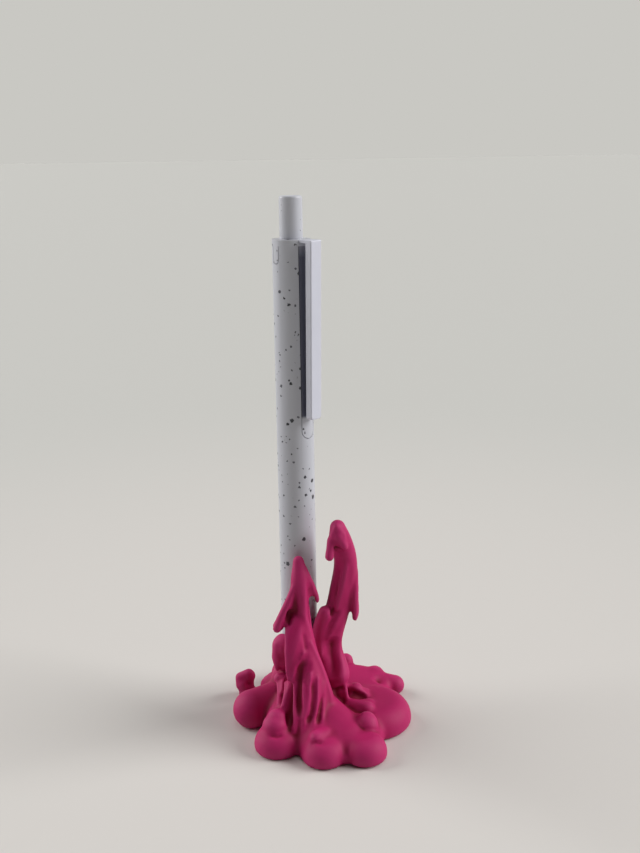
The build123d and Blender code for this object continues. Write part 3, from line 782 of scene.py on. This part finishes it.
@dataclass
class GooStand:
    """The stand: a puddle of goo with two dripping spires round the pen's socket."""

    node: str = "goo_stand"
    slot: str = "goo_plastic"
    coarse_mm: float = 0.45
    fine_mm: float = 0.36
    bead_rounds: int = 3
    # Valleys are filled more often below the puddle's height than up to the spires' height.
    puddle_mm: float = 8.5
    puddle_rounds: int = 5
    spire_mm: float = 70.0
    spire_rounds: int = 1
    blend_rounds: int = 2
    fill_passes: int = 4
    fill_factor: float = 0.5
    ease_passes: int = 2
    ease_factor: float = 0.3
    foot_mm: float = 0.2
    socket_radius_mm: float = 5.3
    socket_floor_mm: float = 6.3
    # Rounds of easing that a fold is measured against, and the depth in millimetres that is deep
    hollow_scales: tuple[tuple[int, float], ...] = ((12, 0.35), (120, 1.6))

    def remeshed(self, form: bmesh.types.BMesh, voxel_mm: float) -> bmesh.types.BMesh:
        """Join overlapping closed shells into one even skin.

        Args:
            form: The shells; it is used up.
            voxel_mm: The skin's mesh size in millimetres.

        Returns:
            The joined skin.
        """
        shell = new_object("goo_form", form)
        mesh = shell.data
        remesh = shell.modifiers.new("skin", "REMESH")
        remesh.mode = "VOXEL"
        remesh.voxel_size = voxel_mm * MM
        graph = bpy.context.evaluated_depsgraph_get()
        skin = bpy.data.meshes.new_from_object(shell.evaluated_get(graph))
        joined = bmesh.new()
        joined.from_mesh(skin)
        bpy.data.objects.remove(shell)
        bpy.data.meshes.remove(mesh)
        bpy.data.meshes.remove(skin)
        return joined

    def smooth(
        self, form: bmesh.types.BMesh, verts: list[bmesh.types.BMVert], passes: int, factor: float
    ) -> None:
        """Ease some vertices towards their neighbours.

        Args:
            form: The skin.
            verts: The vertices to ease.
            passes: How many times.
            factor: How far each time.
        """
        for _ in range(passes):
            bmesh.ops.smooth_vert(
                form, verts=verts, factor=factor,
                use_axis_x=True, use_axis_y=True, use_axis_z=True,
            )

    def ease(self, form: bmesh.types.BMesh) -> None:
        """Ease the whole skin a little."""
        self.smooth(form, form.verts[:], self.ease_passes, self.ease_factor)

    def hollows(self, form: bmesh.types.BMesh) -> list[bmesh.types.BMVert]:
        """Find the vertices that lie in valleys.

        Args:
            form: The skin.

        Returns:
            The vertices whose neighbours stand higher than they do.
        """
        found = []
        for vert in form.verts:
            around = [edge.other_vert(vert).co for edge in vert.link_edges]
            middle = sum(around, Vector()) / len(around)
            if (middle - vert.co).dot(vert.normal) > 0:
                found.append(vert)
        return found

    def fill_valleys(self, form: bmesh.types.BMesh, rounds: int, below_mm: float) -> None:
        """Let goo run into the valleys between forms, while the forms keep their size.

        Args:
            form: The skin.
            rounds: How often the valleys are found again.
            below_mm: The height under which they are filled.
        """
        for _ in range(rounds):
            form.normal_update()
            low = [vert for vert in self.hollows(form) if vert.co.z < below_mm * MM]
            self.smooth(form, low, self.fill_passes, self.fill_factor)

    def add_hull(self, form: bmesh.types.BMesh, beads: tuple[Bead, ...]) -> None:
        """Add one smooth lump that wraps some beads.

        Args:
            form: The shells to add to.
            beads: The beads to wrap.
        """
        lump = bmesh.new()
        for bead in beads:
            place = Matrix.Translation(bead.centre())
            bmesh.ops.create_icosphere(
                lump, subdivisions=self.bead_rounds, radius=bead.radius * MM, matrix=place
            )
        bmesh.ops.delete(lump, geom=lump.edges[:] + lump.faces[:], context="EDGES_FACES")
        hull = bmesh.ops.convex_hull(lump, input=lump.verts[:])
        spare = [item for item in hull["geom_interior"] if isinstance(item, bmesh.types.BMVert)]
        bmesh.ops.delete(lump, geom=spare, context="VERTS")
        bmesh.ops.recalc_face_normals(lump, faces=lump.faces[:])
        mesh = bpy.data.meshes.new("goo_lump")
        lump.to_mesh(mesh)
        lump.free()
        form.from_mesh(mesh)
        bpy.data.meshes.remove(mesh)

    def press_creases(self, form: bmesh.types.BMesh) -> None:
        """Press the grooves and dimples into the skin.

        Args:
            form: The skin.
        """
        form.normal_update()
        places = np.array([vert.co for vert in form.verts])
        depths = sum(crease.nearness(places) * crease.depth * MM for crease in CREASES)
        form.verts.ensure_lookup_table()
        for index in np.flatnonzero(depths):
            vert = form.verts[int(index)]
            vert.co -= vert.normal * float(depths[index])

    def keep_fits(self, form: bmesh.types.BMesh) -> None:
        """Keep the socket clear of the pen and the foot flat on the desk.

        Args:
            form: The skin.
        """
        radius = self.socket_radius_mm * MM
        for vert in form.verts:
            if vert.co.z <= self.foot_mm * MM:
                vert.co.z = 0.0
            off_axis = Vector((vert.co.x, vert.co.y))
            if vert.co.z > self.socket_floor_mm * MM and 0 < off_axis.length < radius:
                off_axis *= radius / off_axis.length
                vert.co.x, vert.co.y = off_axis

    def build(self) -> bpy.types.Object:
        """Model the goo.

        Returns:
            The finished piece, at the origin.
        """
        form = self.remeshed(merged_copy(self.node), self.coarse_mm)
        self.ease(form)
        self.fill_valleys(form, self.puddle_rounds, self.puddle_mm)
        self.fill_valleys(form, self.spire_rounds, self.spire_mm)
        for beads in RUNS.values():
            for pair in zip(beads, beads[1:]):
                self.add_hull(form, pair)
        for beads in SHEETS.values():
            self.add_hull(form, beads)
        form = self.remeshed(form, self.fine_mm)
        self.ease(form)
        self.fill_valleys(form, self.blend_rounds, self.spire_mm)
        self.press_creases(form)
        self.ease(form)
        self.keep_fits(form)
        smooth_faces(form)
        piece = new_object("goo_body", form)
        self.mark_hollows(piece.data)
        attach(piece, Body.STAND.value)
        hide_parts(self.node)
        return piece

    def mark_hollows(self, mesh: bpy.types.Mesh) -> None:
        """Write how deep in a fold each point lies: one in a deep fold, minus one on a sharp ridge.

        Args:
            mesh: The finished skin, which gets the attribute.
        """
        count = len(mesh.vertices)
        places = np.empty(3 * count)
        mesh.vertices.foreach_get("co", places)
        normals = np.empty(3 * count)
        mesh.vertices.foreach_get("normal", normals)
        ends = np.empty(2 * len(mesh.edges), dtype=np.int32)
        mesh.edges.foreach_get("vertices", ends)
        places, normals, ends = places.reshape(-1, 3), normals.reshape(-1, 3), ends.reshape(-1, 2)
        near = np.concatenate([ends[:, 0], ends[:, 1]])
        far = np.concatenate([ends[:, 1], ends[:, 0]])
        links = np.bincount(near, minlength=count)
        eased = places.copy()
        depth = np.zeros(count)
        done = 0
        for passes, fold_mm in self.hollow_scales:
            for _ in range(done, passes):
                around = [
                    np.bincount(near, weights=eased[far, axis], minlength=count)
                    for axis in range(3)
                ]
                eased = np.stack(around, axis=1) / links[:, None]
            done = passes
            depth += np.einsum("ij,ij->i", eased - places, normals) / (fold_mm * MM)
        layer = mesh.attributes.new(HOLLOW, "FLOAT", "POINT")
        layer.data.foreach_set("value", np.clip(depth, -1, 1).astype(np.float32))

    def dress(self, piece: bpy.types.Object, finish: MattePla) -> None:
        """Give the goo its finish."""
        piece.data.materials.append(finish.material())
        LOG.info("%s: %s, %d faces", piece.name, finish.name, len(piece.data.polygons))


@dataclass
class ClickPen:
    """The pen: its pieces keep their solids' shapes and get their finishes; its spring moves."""

    barrel: SpeckledAbs = SpeckledAbs()
    button: SpeckledAbs = SpeckledAbs(
        name="speckled_abs_button", white="#C2C3CB", largest=(0.2, 0.16)
    )
    clip_bearing: float = -42.0
    spring_node: str = "return_spring"
    spring_slot: str = "spring_steel"
    spring_joint: str = "refill_feed"
    trim: MouldedPlastic = MouldedPlastic("satin_abs_lavender_white", "#D4D5E1", "#CCCDD9")
    inner: MouldedPlastic = MouldedPlastic(
        "acetal_natural", "#DAD8CE", "#CFCDC2", roughness=0.45, ior=1.48
    )
    tube: MouldedPlastic = MouldedPlastic(
        "polypropylene_tube", "#DDE3E6", "#D2D9DD", roughness=0.3, ior=1.49, see_through=0.6
    )
    ink: MouldedPlastic = MouldedPlastic(
        "ballpoint_ink", "#0C0F2C", "#151A3E", roughness=0.12, ior=1.45
    )
    spring: WorkedMetal = WorkedMetal("drawn_spring_steel", "#B9BAC0", "#8C8E96", 0.28)
    tip: WorkedMetal = WorkedMetal("turned_nickel_brass", "#C9A964", "#A88A4C", 0.24)
    ball: WorkedMetal = WorkedMetal("polished_carbide", "#A5A6AB", "#8E9096", 0.12, line_mm=0.05)

    def finishes(self) -> dict[str, bpy.types.Material]:
        """Make each finish once.

        Returns:
            The material of each of the pen's nodes.
        """
        inner = self.inner.material()
        clip_foot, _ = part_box("clip")
        _, barrel_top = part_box("barrel")
        # The cap's strip behind the clip gets painted shade, from the clip's foot up to the
        # barrel's top.
        cap = SpeckledAbs(
            name="speckled_abs_cap", shade_bearing=self.clip_bearing,
            shade_low_mm=clip_foot.z / MM, shade_high_mm=barrel_top.z / MM,
        )
        return {
            "barrel": self.barrel.material(),
            "plunger": self.button.material(),
            "clip": self.trim.material(),
            "clip_cap": cap.material(),
            "guide_sleeve": inner,
            "cam_rotor": inner,
            "refill_plug": inner,
            "refill_tube": self.tube.material(),
            "ink_column": self.ink.material(),
            "refill_tip": self.tip.material(),
            "writing_ball": self.ball.material(),
        }

    def build(self) -> bpy.types.Object:
        """Model the spring as a piece of its own, riding on the pen.

        Returns:
            The spring, at the origin.
        """
        form = merged_copy(self.spring_node)
        smooth_faces(form)
        piece = new_object("spring_coil", form)
        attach(piece, Body.PEN.value)
        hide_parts(self.spring_node)
        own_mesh(piece)
        return piece

    def dress(self, piece: bpy.types.Object) -> None:
        """Put each finish on its node.

        Args:
            piece: The spring.
        """
        piece.data.materials.append(self.spring.material())
        LOG.info("%s: %s, %d faces", piece.name, self.spring.name, len(piece.data.polygons))
        for name, material in self.finishes().items():
            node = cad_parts[name]
            node.data.materials.clear()
            node.data.materials.append(material)
            LOG.info("%s: %s", name, material.name)


@dataclass(frozen=True)
class Sun:
    """A broad soft light: where it stands, how strong it is and how wide the object sees it."""

    name: str
    bearing_deg: float
    height_deg: float
    strength: float
    width_deg: float


@dataclass
class Studio:
    """A pale table in soft light from above and both sides, seen by the photograph's camera."""

    # The table is painted lighter near the object and darker far off: a painted pool of light.
    pool_of_light_colour: str = "#D9D5D0"
    far_colour: str = "#CECDC8"
    near_m: float = 0.08
    far_m: float = 0.4
    floor_grain_mm: float = 1.5
    floor_relief_mm: float = 0.02
    floor_roughness: float = 0.9
    floor_specular: float = 0.1
    floor_half_m: float = 60.0
    background: str = "#C9C8C3"
    ambient: float = 0.04
    camera_place: tuple[float, float, float] = (0.0069, -0.2692, 0.1595)
    pitch_deg: float = 15.12
    roll_deg: float = 0.85
    focal_px: float = 1000.0
    long_side_px: float = 853.0
    sensor_mm: float = 36.0
    nearest_m: float = 0.01
    suns: tuple[Sun, ...] = (
        Sun("light_above", 0.0, 90.0, 0.4, 40.0),
        Sun("light_left", 162.0, 25.0, 2.35, 50.0),
        Sun("light_right", 1.0, 30.0, 2.85, 40.0),
    )

    def lay_floor(self) -> None:
        """Lay the table."""
        form = bmesh.new()
        bmesh.ops.create_grid(form, x_segments=1, y_segments=1, size=self.floor_half_m)
        table = new_object("table", form)
        card, tree, shader, place = new_material("matt_card_pale_grey")
        grain = add_node(
            tree, "ShaderNodeTexNoise",
            values={"Scale": per_metre(self.floor_grain_mm), "Detail": 2.0},
            links={"Vector": place},
        )
        bump = add_node(
            tree, "ShaderNodeBump",
            values={"Strength": 0.05, "Distance": self.floor_relief_mm * MM},
            links={"Height": grain.outputs["Fac"]},
        )
        # Painted pool of light: the colour fades from the lighter near colour to the far colour.
        distance = add_node(
            tree, "ShaderNodeVectorMath", settings={"operation": "LENGTH"}, links={0: place}
        )
        fade = add_node(
            tree, "ShaderNodeMapRange", settings={"interpolation_type": "SMOOTHSTEP"},
            values={"From Min": self.near_m, "From Max": self.far_m},
            links={"Value": distance.outputs["Value"]},
        )
        tint = add_node(
            tree, "ShaderNodeMix", settings={"data_type": "RGBA"},
            values={6: linear(self.pool_of_light_colour), 7: linear(self.far_colour)},
            links={"Factor": fade.outputs["Result"]},
        )
        shader.inputs["Roughness"].default_value = self.floor_roughness
        shader.inputs["Specular IOR Level"].default_value = self.floor_specular
        tree.links.new(tint.outputs[2], shader.inputs["Base Color"])
        tree.links.new(bump.outputs["Normal"], shader.inputs["Normal"])
        table.data.materials.append(card)

    def hang_lights(self) -> None:
        """Hang the soft lights."""
        for sun in self.suns:
            lamp = bpy.data.lights.new(sun.name, "SUN")
            lamp.energy = sun.strength
            lamp.angle = math.radians(sun.width_deg)
            light = bpy.data.objects.new(sun.name, lamp)
            bearing, height = math.radians(sun.bearing_deg), math.radians(sun.height_deg)
            level = math.cos(height)
            towards = Vector(
                (math.cos(bearing) * level, math.sin(bearing) * level, math.sin(height))
            )
            light.rotation_euler = towards.to_track_quat("Z", "Y").to_euler()
            bpy.context.scene.collection.objects.link(light)

    def set_air(self) -> None:
        """Set the plain background, and the dim light that comes from it."""
        world = bpy.data.worlds.new("soft_room")
        world.use_nodes = True
        tree = world.node_tree
        tree.nodes.clear()
        path = add_node(tree, "ShaderNodeLightPath").outputs
        seen = add_node(
            tree, "ShaderNodeMath", settings={"operation": "MAXIMUM"},
            links={0: path["Is Camera Ray"], 1: path["Is Transmission Ray"]},
        )
        shown = add_node(
            tree, "ShaderNodeMath", settings={"operation": "MAXIMUM"},
            links={0: seen.outputs[0], 1: path["Is Glossy Ray"]},
        )
        dim = add_node(
            tree, "ShaderNodeBackground", values={"Color": (1, 1, 1, 1), "Strength": self.ambient}
        )
        plain = add_node(
            tree, "ShaderNodeBackground",
            values={"Color": linear(self.background), "Strength": 1.0},
        )
        mixed = add_node(
            tree, "ShaderNodeMixShader",
            links={"Fac": shown.outputs[0], 1: dim.outputs[0], 2: plain.outputs[0]},
        )
        add_node(tree, "ShaderNodeOutputWorld", links={"Surface": mixed.outputs[0]})
        bpy.context.scene.world = world

    def place_camera(self) -> None:
        """Place the photograph's camera."""
        pitch, roll = math.radians(self.pitch_deg), math.radians(self.roll_deg)
        forward = Vector((0, math.cos(pitch), -math.sin(pitch)))
        level = Vector((1, 0, 0))
        upright = level.cross(forward)
        right = level * math.cos(roll) - upright * math.sin(roll)
        up = level * math.sin(roll) + upright * math.cos(roll)
        lens = bpy.data.cameras.new("photo_lens")
        lens.sensor_width = self.sensor_mm
        lens.lens = self.focal_px / self.long_side_px * self.sensor_mm
        lens.clip_start = self.nearest_m
        camera = bpy.data.objects.new("photo_camera", lens)
        turn = Matrix((right, up, -forward)).transposed().to_4x4()
        camera.matrix_world = Matrix.Translation(self.camera_place) @ turn
        bpy.context.scene.collection.objects.link(camera)
        bpy.context.scene.camera = camera

    def build(self) -> None:
        """Set up the table, the lights, the air and the camera."""
        self.lay_floor()
        self.hang_lights()
        self.set_air()
        self.place_camera()
        bpy.context.scene.view_settings.view_transform = "Standard"


def main() -> None:
    """Set the studio, then build and dress each sub-assembly."""
    logging.basicConfig(level=logging.INFO)
    Studio().build()
    stand = GooStand()
    stand.dress(stand.build(), MattePla())
    pen = ClickPen()
    pen.dress(pen.build())


if __name__ == "__main__":
    main()
